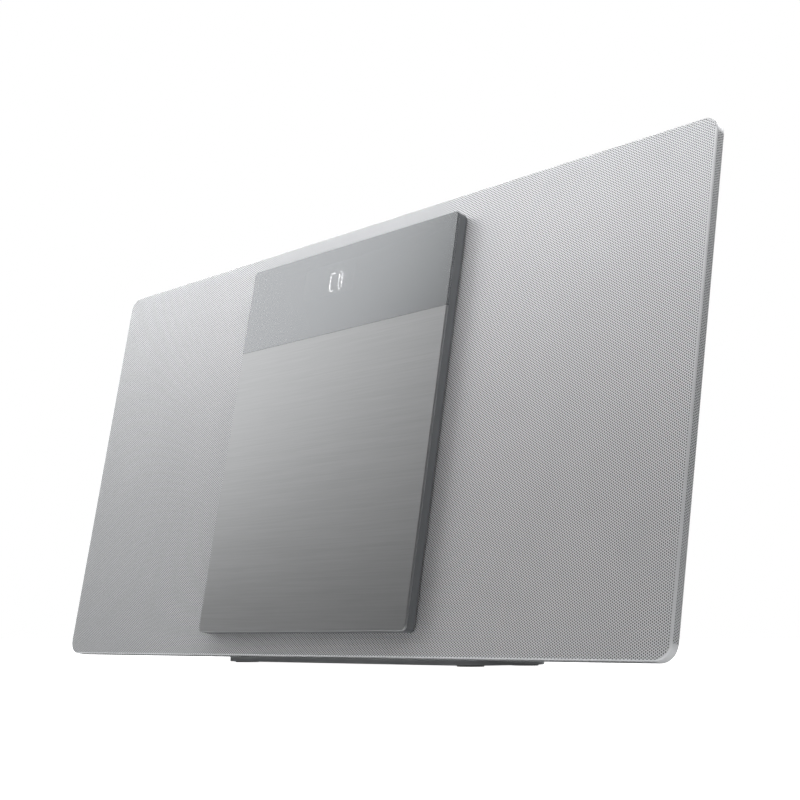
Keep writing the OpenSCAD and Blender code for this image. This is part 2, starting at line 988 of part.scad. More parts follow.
// Moulded back shell, with its bosses, vents and cut-outs
module rear_cabinet() {
    boss_len = 7.5;
    merge = 0.2;
    vents = 9;
    vent_w = 3;
    vent_pitch = 8;
    vent_half_h = 16;
    color("#c4c6c8")
        difference() {
            union() {
                difference() {
                    cabinet_solid(0, rim_depth);
                    cabinet_solid(wall, rim_depth - over);
                }
                wall_hole_places()
                    rod_y(0, back_y - wall - boss_len, back_y - wall + merge, 0, 5);
                case_screw_places()
                    rod_y(0, back_y - wall - boss_len, back_y - wall + merge, 0, 4);
            }
            wall_hole_places()
                rod_y(0, back_y - 2 * wall - boss_len, back_y + over, 0, wall_hole_d / 2);
            case_screw_places() {
                rod_y(0, back_y - case_head_h, back_y + over, 0, case_head_r + slip);
                rod_y(0, back_y - 2 * wall - boss_len, back_y + over, 0, case_screw_r);
            }
            for (side = [-1, 1])
                rod_y(side * port_x, back_y - wall - over, back_y + over, port_z, port_d / 2 + 4);
            block([jack_x - jack_w / 2, jack_x + jack_w / 2], [back_y - wall - over, back_y + over],
                  [jack_z - jack_h / 2, jack_z + jack_h / 2]);
            for (i = [0 : vents - 1])
                translate([(i - (vents - 1) / 2) * vent_pitch, 0, 0])
                    block([-vent_w / 2, vent_w / 2], [back_y - wall - over, back_y + over],
                          [wall_hole_mid - vent_half_h, wall_hole_mid + vent_half_h]);
            for (i = [0 : button_count - 1])
                translate([button_x(i), button_y, shoulder_z - wall - over])
                    linear_extrude(wall + 2 * over)
                        rounded(-button_w / 2 - slip, button_w / 2 + slip, -button_d / 2 - slip,
                                button_d / 2 + slip, button_r + slip);
            foot_screw_places()
                cylinder(h = belly_z + wall + over, r = foot_screw_r);
        }
}

module cabinet_screws() {
    color("#77797c")
        case_screw_places() {
            rod_y(0, back_y - case_head_h, back_y - 0.4, 0, case_head_r);
            rod_y(0, back_y - wall - 9, back_y - case_head_h, 0, case_screw_r);
        }
}

// ---- Sockets at the back ----

function socket_x(i) = jack_x + (i - 1) * jack_pitch;
function socket_r(i) = [5.5, 4, 4.8][i];

// Recessed plate that the sockets come through
module jack_panel() {
    color("#202123")
        difference() {
            block([jack_x - jack_w / 2, jack_x + jack_w / 2], [back_y - wall, back_y - 1],
                  [jack_z - jack_h / 2, jack_z + jack_h / 2]);
            for (i = [0 : 2])
                rod_y(socket_x(i), back_y - wall - over, back_y, jack_z, socket_r(i));
        }
}

// Power inlet for an external adaptor: a barrel with a centre pin
module power_jack() {
    color("#141414") {
        difference() {
            rod_y(socket_x(0), socket_d0, socket_d1, jack_z, socket_r(0));
            rod_y(socket_x(0), socket_d0 + 3, socket_d1 + over, jack_z, 2.75);
        }
        rod_y(socket_x(0), socket_d0 + 2, socket_d1 - 1.5, jack_z, 1);
    }
}

// Stereo input socket for a 3.5 mm plug
module aux_jack() {
    color("#1c1c1c")
        difference() {
            rod_y(socket_x(1), socket_d0, socket_d1, jack_z, socket_r(1));
            rod_y(socket_x(1), socket_d0 + over, socket_d1 + over, jack_z, 1.8);
        }
}

// Coaxial aerial socket: a metal sleeve round a hollow centre contact
module aerial_socket() {
    contact_r = 1.6;
    color("#b7b9bb") {
        difference() {
            rod_y(socket_x(2), socket_d0, socket_d1, jack_z, socket_r(2));
            rod_y(socket_x(2), socket_d0 + 2, socket_d1 + over, jack_z, socket_r(2) - 0.9);
        }
        difference() {
            rod_y(socket_x(2), socket_d0 + 1.5, socket_d1 - 2, jack_z, contact_r);
            rod_y(socket_x(2), socket_d0 + 4, socket_d1, jack_z, contact_r / 2);
        }
    }
}

// ---- Foot ----

module foot_screw_places() {
    for (x = [-foot_screw_x, foot_screw_x])
        translate([x, foot_y, 0])
            children();
}

module pad_places() {
    inset = foot_r * 0.7;
    for (x = [-foot_w / 2 + inset, foot_w / 2 - inset],
         y = [foot_y - foot_d / 2 + inset, foot_y + foot_d / 2 - inset])
        translate([x, y, 0])
            children();
}

// Stand plate under the cabinet
module foot() {
    color("#85878a")
        difference() {
            translate([0, 0, pad_proud])
                linear_extrude(belly_z - pad_proud)
                    rounded(-foot_w / 2, foot_w / 2, foot_y - foot_d / 2, foot_y + foot_d / 2,
                            foot_r);
            pad_places()
                cylinder(h = pad_h, r = pad_r);
            foot_screw_places() {
                cylinder(h = foot_head_z1, r = foot_head_r + 0.4);
                cylinder(h = belly_z + over, r = foot_screw_r);
            }
        }
}

module foot_pads() {
    color("#151515")
        pad_places()
            cylinder(h = pad_h, r = pad_r);
}

module foot_screws() {
    color("#77797c")
        foot_screw_places() {
            translate([0, 0, foot_head_z0]) {
                cylinder(h = foot_head_z1 - foot_head_z0, r = foot_head_r);
                cylinder(h = foot_screw_len, r = foot_screw_r);
            }
        }
}

grille_net();
grille_frame();
front_baffle();
centre_fascia();
disc_tray();
display_module();
display_board();
door_plate();
door_window();
door_carrier();
door_runner_upper();
door_runner_lower();
door_rack();
door_rods();
door_pinion();
door_gearbox();
door_motor();
mech_chassis();
mech_posts();
turntable_hub();
turntable_mat();
spindle_motor();
pickup_sled();
pickup_lens();
sled_rods();
sled_gear();
sled_motor();
left_speaker_frame();
left_speaker_magnet();
left_surround();
left_cone();
right_speaker_frame();
right_speaker_magnet();
right_surround();
right_cone();
left_port_tube();
right_port_tube();
main_board();
board_parts();
board_standoffs();
heat_sink();
key_board();
power_button();
source_button();
volume_down_button();
volume_up_button();
stop_button();
play_button();
open_button();
rear_cabinet();
jack_panel();
power_jack();
aux_jack();
aerial_socket();
cabinet_screws();
foot();
foot_pads();
foot_screws();
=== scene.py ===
import json
import math

import bmesh
import bpy
from mathutils import Matrix, Vector


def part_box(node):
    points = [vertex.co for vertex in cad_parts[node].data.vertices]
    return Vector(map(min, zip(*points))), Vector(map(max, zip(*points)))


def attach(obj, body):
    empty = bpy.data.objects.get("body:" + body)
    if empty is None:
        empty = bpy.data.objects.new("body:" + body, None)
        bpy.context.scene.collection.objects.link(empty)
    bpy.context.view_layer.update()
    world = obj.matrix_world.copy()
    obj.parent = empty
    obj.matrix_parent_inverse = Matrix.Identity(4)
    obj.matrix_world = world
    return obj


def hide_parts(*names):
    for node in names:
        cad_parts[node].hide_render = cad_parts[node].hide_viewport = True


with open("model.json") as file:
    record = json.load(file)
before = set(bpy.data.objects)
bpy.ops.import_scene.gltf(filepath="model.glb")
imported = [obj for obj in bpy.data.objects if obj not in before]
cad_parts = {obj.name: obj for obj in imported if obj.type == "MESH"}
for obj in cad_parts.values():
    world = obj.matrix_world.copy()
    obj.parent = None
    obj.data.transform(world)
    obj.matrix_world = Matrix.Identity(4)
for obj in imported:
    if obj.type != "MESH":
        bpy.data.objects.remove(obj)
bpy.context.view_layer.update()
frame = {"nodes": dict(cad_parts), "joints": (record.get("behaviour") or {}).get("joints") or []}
nodes = frame["nodes"]
MM = 0.001


# ---- Leaning front -----------------------------------------------------------
# The whole front leans back on its foot, and so does everything bolted to it. Its lean comes from
# the turntable's axis, which stands square to the front.

spindle = next(j for j in frame["joints"] if j["name"] == "turntable_spin")
lean = math.atan2(-spindle["axis"][2], spindle["axis"][1])
turn = Matrix.Rotation(-lean, 4, "X")


def lean_box(node):
    """Lowest and highest corner of a CAD node, turned upright: x, depth, height up the slope."""
    places = [turn.inverted() @ v.co for v in nodes[node].data.vertices]
    low = Vector(min(p[k] for p in places) for k in range(3))
    high = Vector(max(p[k] for p in places) for k in range(3))
    return low, high


net_low, net_high = lean_box("grille_net")
front = net_low.y
foot_line = turn @ Vector((0, front, net_low.z))


# ---- Camera ------------------------------------------------------------------
# It stands almost on the table, to the right of the object, and looks a little up at it. The
# picture is the upper part of what the lens sees, which the shift gives.

camera_data = bpy.data.cameras.new("camera")
camera_data.lens = 61.9
camera_data.shift_y = 0.15
camera_data.clip_start = 0.01
camera = bpy.data.objects.new("camera", camera_data)
camera.location = foot_line + Vector((493, -407.3, 8.3)) * MM
camera.rotation_euler = (math.radians(90 + 4.91), 0, math.radians(46.29))
bpy.context.scene.collection.objects.link(camera)
bpy.context.scene.camera = camera


# ---- Studio ------------------------------------------------------------------
# A white table under a white sky. A large round soft light stands at the left, a strip hangs
# close above the front, a faint one fills in from low in front, and a wide one lights the back.

def colour(code):
    """Linear colour of an sRGB hex value."""
    parts = [int(code[k:k + 2], 16) / 255 for k in (1, 3, 5)]
    return (*[p / 12.92 if p <= 0.04045 else ((p + 0.055) / 1.055) ** 2.4 for p in parts], 1)


def add(tree, kind, values={}, links={}, **settings):
    """Adds a node with its settings, its input values and the sockets that feed its inputs."""
    node = tree.nodes.new(kind)
    for key, value in settings.items():
        setattr(node, key, value)
    for key, value in values.items():
        node.inputs[key].default_value = value
    for key, socket in links.items():
        tree.links.new(socket, node.inputs[key])
    return node


def finish(name, **values):
    """A new material, its node tree, its shader and the piece's own coordinates."""
    material = bpy.data.materials.new(name)
    material.use_nodes = True
    tree = material.node_tree
    surface = tree.nodes["Principled BSDF"]
    for key, value in values.items():
        surface.inputs[key.replace("_", " ")].default_value = value
    place = add(tree, "ShaderNodeTexCoord").outputs["Object"]
    return material, tree, surface, place


bpy.context.scene.view_settings.view_transform = "Standard"
world = bpy.data.worlds.new("sky")
world.use_nodes = True
bpy.context.scene.world = world
sky = world.node_tree
sky.nodes.clear()
seen = add(sky, "ShaderNodeBackground", {"Color": (1, 1, 1, 1), "Strength": 1.0})
shining = add(sky, "ShaderNodeBackground", {"Color": (1, 1, 1, 1), "Strength": 0.11})
ray = add(sky, "ShaderNodeLightPath")
either = add(sky, "ShaderNodeMixShader", links={0: ray.outputs["Is Camera Ray"],
                                                1: shining.outputs[0], 2: seen.outputs[0]})
add(sky, "ShaderNodeOutputWorld", links={"Surface": either.outputs[0]})

# Matt white laminate, lit evenly enough to meet the sky without a line.
laminate, tree, surface, place = finish("white_laminate", Roughness=0.7, Specular_IOR_Level=0.0,
                                        Emission_Color=(1, 1, 1, 1))
mottle = add(tree, "ShaderNodeTexNoise", {"Scale": 40.0, "Detail": 4.0}, {"Vector": place})
tint = add(tree, "ShaderNodeMix", {6: colour("#dedede"), 7: colour("#e4e4e4")},
           {0: mottle.outputs["Fac"]}, data_type="RGBA")
tree.links.new(tint.outputs[2], surface.inputs["Base Color"])
ray = add(tree, "ShaderNodeLightPath")
lift = add(tree, "ShaderNodeMapRange", {"To Min": 0.04, "To Max": 1.0},
           {"Value": ray.outputs["Is Camera Ray"]})
tree.links.new(lift.outputs[0], surface.inputs["Emission Strength"])
bm = bmesh.new()
bmesh.ops.create_grid(bm, x_segments=1, y_segments=1, size=12)
table_mesh = bpy.data.meshes.new("table")
bm.to_mesh(table_mesh)
bm.free()
table_mesh.materials.append(laminate)
table = bpy.data.objects.new("table", table_mesh)
bpy.context.scene.collection.objects.link(table)


def softbox(name, place, aim, shape, size, watts):
    """An area light that looks at a point, and that the camera doesn't see."""
    data = bpy.data.lights.new(name, "AREA")
    data.shape = shape
    data.size, data.size_y = size
    data.energy = watts
    lamp = bpy.data.objects.new(name, data)
    lamp.location = place
    lamp.rotation_euler = (Vector(aim) - Vector(place)).to_track_quat("-Z", "Y").to_euler()
    lamp.visible_camera = False
    bpy.context.scene.collection.objects.link(lamp)
    return lamp


softbox("key", (-1.67, -0.15, 1.19), (0, 0, 0.1), "DISK", (2.3, 2.3), 23.5)
# The strip is a grazing light that only shades the front; its mirror image would glare there.
strip = softbox("strip", (0.09, -0.12, 0.32), (0.09, 0, 0.1), "RECTANGLE", (0.9, 0.06), 1.8)
strip.visible_glossy = False
softbox("low_fill", (0.5, -1.3, 0.06), (0, 0, 0.03), "RECTANGLE", (1.0, 0.1), 0.3)
softbox("back", (0.2, 1.6, 1.3), (0, 0, 0.1), "RECTANGLE", (1.6, 0.8), 16)


# ---- Perforated front sheet --------------------------------------------------
# One sheet of aluminium, punched all over with staggered 0.6 mm holes, folded back round its
# edge, satin anodised, and cut out behind the door. It clips over the frame behind it.

def smooth_piece(bm, name, matrix=Matrix.Identity(4), sharp=35):
    """Makes a placed object, smooth up to an angle. Large faces stay flat up to their edges."""
    bmesh.ops.transform(bm, matrix=matrix, verts=bm.verts[:])
    bm.normal_update()
    limit = math.cos(math.radians(sharp))
    normals = []
    for face in bm.faces:
        face.smooth = True
        for loop in face.loops:
            near = [f.normal * f.calc_area() for f in loop.vert.link_faces
                    if f.normal.dot(face.normal) >= limit]
            normals.append((sum(near, Vector()) or face.normal).normalized())
    mesh = bpy.data.meshes.new(name)
    bm.to_mesh(mesh)
    bm.free()
    mesh.normals_split_custom_set(normals)
    piece = bpy.data.objects.new(name, mesh)
    bpy.context.scene.collection.objects.link(piece)
    return piece


def fit(piece, body, material, slot, *replaced):
    """Gives a piece its material and body, and hides the CAD nodes that it stands for. Its slot
    is not used.
    """
    piece.data.materials.append(material)
    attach(piece, body)
    if replaced:
        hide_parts(*replaced)


def rounded_face(bm, u, v, w, corner, steps=8):
    """A face at height w between two u and two v, with round corners."""
    made = bmesh.ops.create_grid(bm, x_segments=1, y_segments=1, size=0.5)["verts"]
    size = Matrix.Diagonal((u[1] - u[0], v[1] - v[0], 1, 1))
    middle = Matrix.Translation(((u[0] + u[1]) / 2, (v[0] + v[1]) / 2, w))
    bmesh.ops.transform(bm, matrix=middle @ size, verts=made)
    if corner == 0:
        return made[0].link_faces[0]
    rounds = bmesh.ops.bevel(bm, geom=made, offset=corner, offset_type="OFFSET", segments=steps,
                             profile=0.5, affect="VERTICES", material=-1)
    return next(f for f in bm.faces if set(rounds["verts"]) <= set(f.verts))


def bridge(bm, outer, inner):
    """Joins the outlines of two faces into a flat ring, and drops the faces."""
    edges = list(outer.edges) + list(inner.edges)
    bmesh.ops.delete(bm, geom=[outer, inner], context="FACES_ONLY")
    return bmesh.ops.bridge_loops(bm, edges=edges)["faces"]


def extrude(bm, faces, height):
    """Makes a solid from flat faces."""
    grown = bmesh.ops.extrude_face_region(bm, geom=list(faces))["geom"]
    top = [g for g in grown if isinstance(g, bmesh.types.BMVert)]
    bmesh.ops.translate(bm, verts=top, vec=(0, 0, height))
    bmesh.ops.recalc_face_normals(bm, faces=bm.faces[:])


def soften(bm, w, width, steps=3, slack=1e-6):
    """Rounds the corners that lie at height w."""
    edges = [e for e in bm.edges if len(e.link_faces) == 2
             and e.calc_face_angle() > math.radians(40)
             and all(abs(v.co.z - w) < slack for v in e.verts)]
    bmesh.ops.bevel(bm, geom=edges, offset=width, offset_type="OFFSET", segments=steps,
                    profile=0.5, affect="EDGES", material=-1, clamp_overlap=True)


# A piece of the front is drawn with u across, v up the slope and w towards the front.
on_front = turn @ Matrix.Rotation(math.radians(90), 4, "X")

door_low, door_high = lean_box("door_carrier")
net_t = 0.8 * MM
net_corner = 7 * MM
fold_r = 1.0 * MM
opening_x = 71.3 * MM
opening_corner = 2.3 * MM
opening_v = (door_low.z + 3.3 * MM, door_high.z - 1.1 * MM)
bm = bmesh.new()
outer = rounded_face(bm, (net_low.x, net_high.x), (net_low.z, net_high.z), -front, net_corner)
inner = rounded_face(bm, (-opening_x, opening_x), opening_v, -front, opening_corner)
rim = list(outer.edges)
bridge(bm, outer, inner)
folded = bmesh.ops.extrude_edge_only(bm, edges=rim)["geom"]
lip = [g for g in folded if isinstance(g, bmesh.types.BMVert)]
bmesh.ops.translate(bm, verts=lip, vec=(0, 0, net_low.y - net_high.y))
bmesh.ops.recalc_face_normals(bm, faces=bm.faces[:])
soften(bm, -front, fold_r, 4)
if sum(face.normal.z for face in bm.faces) < 0:
    bmesh.ops.reverse_faces(bm, faces=bm.faces[:])
bmesh.ops.solidify(bm, geom=bm.faces[:], thickness=net_t)
net = smooth_piece(bm, "front_net", on_front)

# Anodising gives a soft, slightly cloudy metal sheen. Each hole is painted dark grey and a little
# sunk: partly the grey of the frame seen through it, and partly painted shade of the space behind
# the sheet.
punched, tree, surface, place = finish("punched_anodised_aluminium", Metallic=0.55)
middle = (net_low.z + net_high.z) / 2
upright = add(tree, "ShaderNodeMapping", {"Location": (0, -front, -middle),
                                          "Rotation": (lean, 0, 0)}, {"Vector": place})
size = add(tree, "ShaderNodeVectorMath", links={0: upright.outputs[0]}, operation="ABSOLUTE")
half = add(tree, "ShaderNodeSeparateXYZ", links={0: size.outputs[0]})
# Past the fold, the pattern runs on down the side, so the depth takes over.
reach = {"X": net_high.x, "Z": (net_high.z - net_low.z) / 2}
run = {}
for axis in ("X", "Z"):
    past = add(tree, "ShaderNodeMath", {1: reach[axis] - 0.3 * MM}, {0: half.outputs[axis]},
               operation="GREATER_THAN")
    run[axis] = add(tree, "ShaderNodeMath", links={0: past.outputs[0], 1: half.outputs["Y"],
                                                   2: half.outputs[axis]},
                    operation="MULTIPLY_ADD")
sheet = add(tree, "ShaderNodeCombineXYZ", links={"X": run["X"].outputs[0],
                                                 "Y": run["Z"].outputs[0]})
pitch = Vector((1.72, 1.09, 1)) * MM
nearest = []
for stagger in (0, 0.5):
    row = add(tree, "ShaderNodeVectorMath", {1: [1 / p for p in pitch],
                                             2: (stagger, stagger, 0)},
              {0: sheet.outputs[0]}, operation="MULTIPLY_ADD")
    cell = add(tree, "ShaderNodeVectorMath", links={0: row.outputs[0]}, operation="FRACTION")
    offset = add(tree, "ShaderNodeVectorMath", {1: (0.5, 0.5, 0)}, {0: cell.outputs[0]},
                 operation="SUBTRACT")
    real = add(tree, "ShaderNodeVectorMath", {1: (pitch.x, pitch.y, 0)},
               {0: offset.outputs[0]}, operation="MULTIPLY")
    nearest.append(add(tree, "ShaderNodeVectorMath", links={0: real.outputs[0]},
                       operation="LENGTH").outputs["Value"])
closest = add(tree, "ShaderNodeMath", links={0: nearest[0], 1: nearest[1]}, operation="MINIMUM")
hole = add(tree, "ShaderNodeMapRange", {"From Min": 0.24 * MM, "From Max": 0.42 * MM,
                                        "To Min": 1.0, "To Max": 0.0},
           {"Value": closest.outputs[0]})
# Only the flats are punched, which leaves a plain line along each fold and plain corners.
flat = add(tree, "ShaderNodeMath", {1: 0.1 * MM}, {0: half.outputs["Y"]}, operation="LESS_THAN")
for axis in ("X", "Z"):
    side = add(tree, "ShaderNodeMath", {1: reach[axis] - 0.02 * MM}, {0: half.outputs[axis]},
               operation="GREATER_THAN")
    flat = add(tree, "ShaderNodeMath", links={0: flat.outputs[0], 1: side.outputs[0]},
               operation="MAXIMUM")
hole = add(tree, "ShaderNodeMath", links={0: hole.outputs[0], 1: flat.outputs[0]},
           operation="MULTIPLY")
cloudy = add(tree, "ShaderNodeTexNoise", {"Scale": 25.0, "Detail": 3.0}, {"Vector": place})
skin = add(tree, "ShaderNodeMix", {6: colour("#dbdcde"), 7: colour("#d5d6d8")},
           {0: cloudy.outputs["Fac"]}, data_type="RGBA")
# The holes' dark grey is partly the frame behind and partly painted shade, since the sheet has no
# real openings.
tone = add(tree, "ShaderNodeMix", {7: colour("#505254")}, {0: hole.outputs[0],
                                                           6: skin.outputs[2]},
           data_type="RGBA")
tree.links.new(tone.outputs[2], surface.inputs["Base Color"])
dull = add(tree, "ShaderNodeMapRange", {"To Min": 0.52, "To Max": 0.62},
           {"Value": hole.outputs[0]})
tree.links.new(dull.outputs[0], surface.inputs["Roughness"])
dent = add(tree, "ShaderNodeBump", {"Strength": 0.1, "Distance": 0.2 * MM},
           {"Height": hole.outputs[0]}, invert=True)
tree.links.new(dent.outputs[0], surface.inputs["Normal"])
fit(net, "housing", punched, "perforated_sheet", "grille_net")


# ---- Door face ---------------------------------------------------------------
# One flat sheet of aluminium, brushed from side to side and clear anodised, with a fine bright
# chamfer cut round its edge. It is glued to the door's tray.

face_low, face_high = lean_box("door_plate")
door_corner = 2.5 * MM


def door_sheet(v0, v1):
    """The door's outline between two heights, as a sheet with a chamfer at the front."""
    bm = bmesh.new()
    outline = rounded_face(bm, (door_low.x, door_high.x), (door_low.z, door_high.z),
                           -face_high.y, door_corner)
    extrude(bm, [outline], face_high.y - face_low.y)
    soften(bm, -face_low.y, 0.4 * MM, 2)
    for height, way in ((v0, -1), (v1, 1)):
        cut = bmesh.ops.bisect_plane(bm, geom=bm.verts[:] + bm.edges[:] + bm.faces[:],
                                     plane_co=(0, height, 0), plane_no=(0, way, 0),
                                     clear_outer=True)["geom_cut"]
        ends = [g for g in cut if isinstance(g, bmesh.types.BMEdge)]
        if ends:
            bmesh.ops.contextual_create(bm, geom=ends)
    bmesh.ops.recalc_face_normals(bm, faces=bm.faces[:])
    return bm


window_low = lean_box("door_window")[0]
seam = 0.06 * MM
room = 1 * MM
face = smooth_piece(door_sheet(door_low.z - room, window_low.z - seam), "door_face", on_front)

# Real brush marks are finer than shows, so they are drawn 0.6 mm apart and finer, and faint, with
# broader drags 4 mm apart.
brushed, tree, surface, place = finish("brushed_anodised_aluminium", Metallic=1.0)
upright = add(tree, "ShaderNodeMapping", {"Rotation": (lean, 0, 0), "Scale": (0.02, 1, 1)},
              {"Vector": place})
marks = add(tree, "ShaderNodeTexNoise", {"Scale": 1 / (0.6 * MM), "Detail": 2.0},
            {"Vector": upright.outputs[0]})
drags = add(tree, "ShaderNodeTexNoise", {"Scale": 1 / (4 * MM), "Detail": 3.0},
            {"Vector": upright.outputs[0]})
stroke = add(tree, "ShaderNodeMix", {0: 0.3}, {2: marks.outputs["Fac"], 3: drags.outputs["Fac"]})
spread = add(tree, "ShaderNodeMapRange", {"From Min": 0.35, "From Max": 0.65},
             {"Value": stroke.outputs[0]})
tone = add(tree, "ShaderNodeMix", {6: colour("#aaabac"), 7: colour("#b1b2b3")},
           {0: spread.outputs[0]}, data_type="RGBA")
tree.links.new(tone.outputs[2], surface.inputs["Base Color"])
dull = add(tree, "ShaderNodeMapRange", {"To Min": 0.31, "To Max": 0.34},
           {"Value": spread.outputs[0]})
tree.links.new(dull.outputs[0], surface.inputs["Roughness"])
scratch = add(tree, "ShaderNodeBump", {"Strength": 0.08, "Distance": 0.03 * MM},
              {"Height": stroke.outputs[0]})
tree.links.new(scratch.outputs[0], surface.inputs["Normal"])
fit(face, "door", brushed, "brushed_sheet", "door_plate")


# ---- Door window -------------------------------------------------------------
# Clear acrylic with a grey half-mirror coat on its back, flush above the metal sheet. The
# display behind shines through it, and the rest looks like grey glass.

window = smooth_piece(door_sheet(window_low.z + seam, door_high.z + room), "door_window_strip",
                      on_front)
mirror, tree, surface, place = finish("half_mirror_acrylic", Metallic=0.9, Alpha=0.9,
                                      Coat_Weight=0.1, Coat_Roughness=0.3)
waves = add(tree, "ShaderNodeTexNoise", {"Scale": 12.0, "Detail": 1.0}, {"Vector": place})
tone = add(tree, "ShaderNodeMix", {6: colour("#8e9092"), 7: colour("#929496")},
           {0: waves.outputs["Fac"]}, data_type="RGBA")
tree.links.new(tone.outputs[2], surface.inputs["Base Color"])
dull = add(tree, "ShaderNodeMapRange", {"To Min": 0.19, "To Max": 0.22},
           {"Value": waves.outputs["Fac"]})
tree.links.new(dull.outputs[0], surface.inputs["Roughness"])
fit(window, "door", mirror, "window_strip", "door_window")


# ---- Door tray ---------------------------------------------------------------
# Moulded ABS in dark silver, which carries both face sheets and shows as the door's sides. The
# display shines through its hole, which reaches lower than the display for eyes near the table.

def moulded(name, code, roughness=0.45, grain=0.4, relief=0.03):
    """Spark-eroded plastic: a fine grain, and a slow change of tone where the plastic flowed."""
    material, tree, surface, place = finish(name, IOR=1.53)
    grains = add(tree, "ShaderNodeTexNoise", {"Scale": 1 / (grain * MM), "Detail": 2.0},
                 {"Vector": place})
    flow = add(tree, "ShaderNodeTexNoise", {"Scale": 30.0, "Detail": 3.0}, {"Vector": place})
    base = Vector(colour(code)[:3])
    tone = add(tree, "ShaderNodeMix", {6: (*base * 0.94, 1), 7: (*base * 1.06, 1)},
               {0: flow.outputs["Fac"]}, data_type="RGBA")
    tree.links.new(tone.outputs[2], surface.inputs["Base Color"])
    dull = add(tree, "ShaderNodeMapRange", {"To Min": roughness - 0.06,
                                            "To Max": roughness + 0.06},
               {"Value": grains.outputs["Fac"]})
    tree.links.new(dull.outputs[0], surface.inputs["Roughness"])
    bump = add(tree, "ShaderNodeBump", {"Strength": 0.3, "Distance": relief * MM},
               {"Height": grains.outputs["Fac"]})
    tree.links.new(bump.outputs[0], surface.inputs["Normal"])
    return material


display_low, display_high = lean_box("display_module")
light_x = (-32 * MM, 6 * MM)
glass_low = display_high.z - 17 * MM
bm = bmesh.new()
outer = rounded_face(bm, (door_low.x, door_high.x), (door_low.z, door_high.z), -door_high.y,
                     door_corner)
light_hole = rounded_face(bm, light_x, (glass_low, display_high.z), -door_high.y, 0.5 * MM)
extrude(bm, bridge(bm, outer, light_hole), door_high.y - face_high.y)
soften(bm, -door_high.y, 0.6 * MM, 3)
tray = smooth_piece(bm, "door_tray", on_front)
fit(tray, "door", moulded("dark_silver_abs", "#5f6163", 0.42), "door_plastic", "door_carrier")


# ---- Door runners, rods and drive --------------------------------------------
# Two ABS arms pass through slots and run on ground steel rods. An acetal rack on the lower arm
# meshes with the motor's pinion.

def dress(material, *names):
    """Gives CAD nodes a material."""
    for name in names:
        nodes[name].data.materials.clear()
        nodes[name].data.materials.append(material)


def metal(name, code, roughness, mottle, lay=(1, 1, 1), contrast=0.08):
    """Bare or plated metal, with a grain of a given size that can be drawn out along an axis."""
    material, tree, surface, place = finish(name, Metallic=1.0)
    drawn = add(tree, "ShaderNodeMapping", {"Scale": lay}, {"Vector": place})
    grains = add(tree, "ShaderNodeTexNoise", {"Scale": 1 / (mottle * MM), "Detail": 3.0},
                 {"Vector": drawn.outputs[0]})
    base = Vector(colour(code)[:3])
    tone = add(tree, "ShaderNodeMix", {6: (*base * (1 - contrast), 1),
                                       7: (*base * (1 + contrast), 1)},
               {0: grains.outputs["Fac"]}, data_type="RGBA")
    tree.links.new(tone.outputs[2], surface.inputs["Base Color"])
    dull = add(tree, "ShaderNodeMapRange", {"To Min": roughness - 0.05,
                                            "To Max": roughness + 0.08},
               {"Value": grains.outputs["Fac"]})
    tree.links.new(dull.outputs[0], surface.inputs["Roughness"])
    bump = add(tree, "ShaderNodeBump", {"Strength": 0.1, "Distance": 0.02 * MM},
               {"Height": grains.outputs["Fac"]})
    tree.links.new(bump.outputs[0], surface.inputs["Normal"])
    return material


black_abs = moulded("black_abs", "#2a2b2d", 0.5)
acetal = moulded("natural_acetal", "#e6e2d6", 0.35, 0.8, 0.01)
dress(black_abs, "door_runner_upper", "door_runner_lower", "door_gearbox")
dress(acetal, "door_rack", "door_pinion", "sled_gear")
# Ground rods show a fine lay round the rod; the noise is stretched so that its rings do too.
ground_steel = metal("ground_steel", "#c2c4c6", 0.2, 0.5, (4, 0.4, 0.4))
dress(ground_steel, "door_rods", "sled_rods")
zinc_steel = metal("zinc_plated_steel", "#b4b6b4", 0.32, 3.0, contrast=0.12)
dress(zinc_steel, "door_motor", "spindle_motor", "sled_motor", "mech_chassis")


# ---- Centre fascia and disc well ---------------------------------------------
# A satin black ABS plate behind the door, with the round well cut through it, and the tray that
# closes the well behind. The door uncovers them when it slides open.

def softened_copy(node, name, width, sharp=35, steps=2):
    """A CAD node's shape as a clean mesh with its sharp edges rounded."""
    bm = bmesh.new()
    bm.from_mesh(nodes[node].data)
    bmesh.ops.remove_doubles(bm, verts=bm.verts[:], dist=2e-6)
    bmesh.ops.dissolve_limit(bm, angle_limit=math.radians(0.5), verts=bm.verts[:],
                             edges=bm.edges[:], use_dissolve_boundaries=False)
    edges = [e for e in bm.edges if len(e.link_faces) == 2
             and e.calc_face_angle() > math.radians(sharp)]
    bmesh.ops.bevel(bm, geom=edges, offset=width, offset_type="OFFSET", segments=steps,
                    profile=0.5, affect="EDGES", material=-1, clamp_overlap=False)
    return smooth_piece(bm, name, sharp=50)


satin_black = moulded("satin_black_abs", "#1d1e20", 0.38, 0.3, 0.015)
dress(satin_black, "centre_fascia", "disc_tray")
dress(moulded("grey_polystyrene", "#4a4c4e", 0.5), "grille_frame")
dress(moulded("black_polystyrene", "#2b2c2e", 0.5), "front_baffle")


# ---- Display -----------------------------------------------------------------
# A light box with a gloss black face, set into the fascia, on its own small board. White
# segments glow on it and show through the window as two plain marks.

gloss_black, tree, surface, place = finish("gloss_black_acrylic", IOR=1.49)
haze = add(tree, "ShaderNodeTexNoise", {"Scale": 200.0, "Detail": 2.0}, {"Vector": place})
tone = add(tree, "ShaderNodeMix", {6: colour("#0c0d0e"), 7: colour("#131415")},
           {0: haze.outputs["Fac"]}, data_type="RGBA")
tree.links.new(tone.outputs[2], surface.inputs["Base Color"])
dull = add(tree, "ShaderNodeMapRange", {"To Min": 0.06, "To Max": 0.12},
           {"Value": haze.outputs["Fac"]})
tree.links.new(dull.outputs[0], surface.inputs["Roughness"])
dress(gloss_black, "display_module")
